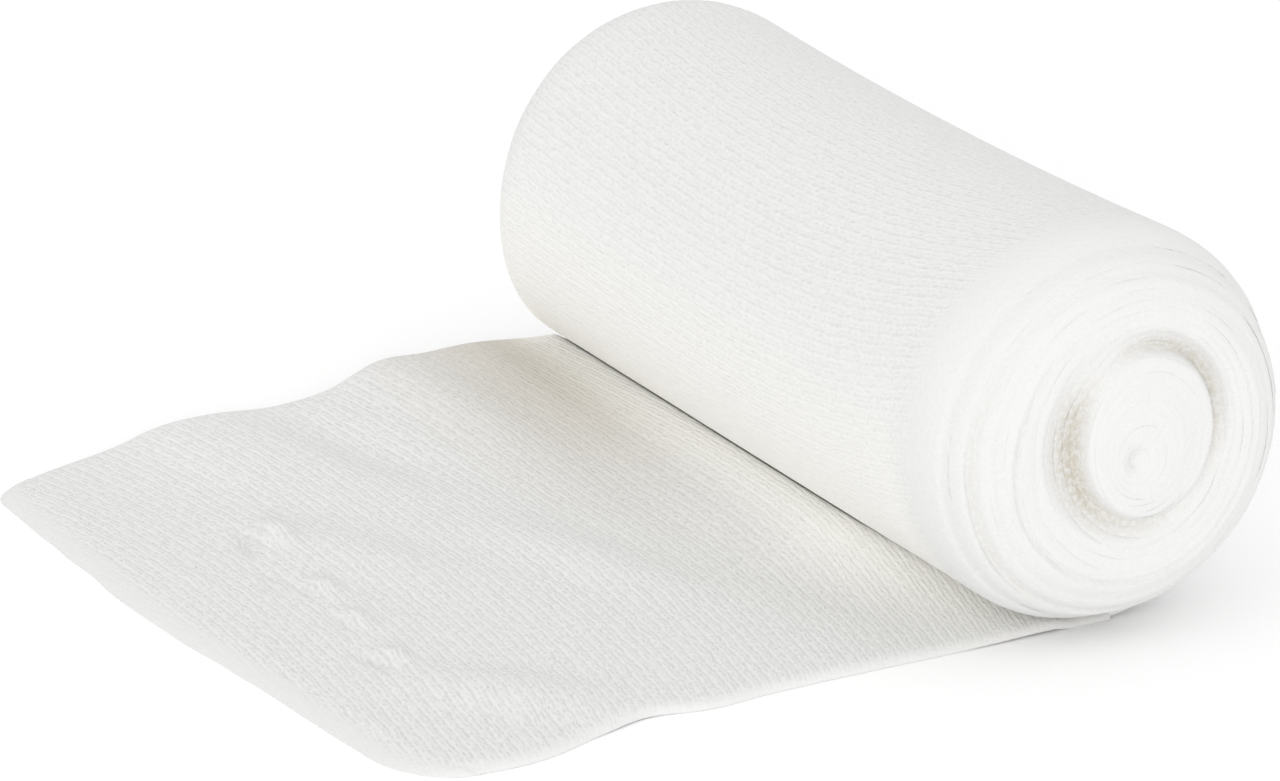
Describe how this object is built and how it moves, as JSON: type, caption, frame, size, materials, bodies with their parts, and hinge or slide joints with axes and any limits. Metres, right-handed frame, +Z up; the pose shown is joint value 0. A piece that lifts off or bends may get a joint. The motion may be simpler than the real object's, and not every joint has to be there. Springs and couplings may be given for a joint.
{
  "type": "short-stretch bandage roll",
  "caption": "White cotton crepe bandage wound into a roll on its side, with its hemmed loose end unrolled flat in front of it",
  "frame": {"origin": "middle of the small flat spot on which the roll rests, under the roll's axis and halfway across the cloth", "axes": "+Z is up; the roll's axis runs along Y, with its domed end facing -Y; the loose end runs out from under the roll towards -X"},
  "size_m": [0.1138, 0.1113, 0.0458],
  "materials": {
    "cloth": "crinkled cotton crepe weave with fine ribs across the strip, matt, undyed white"
  },
  "bodies": {
    "root": {"bandage": "cloth"}
  },
  "joints": []
}
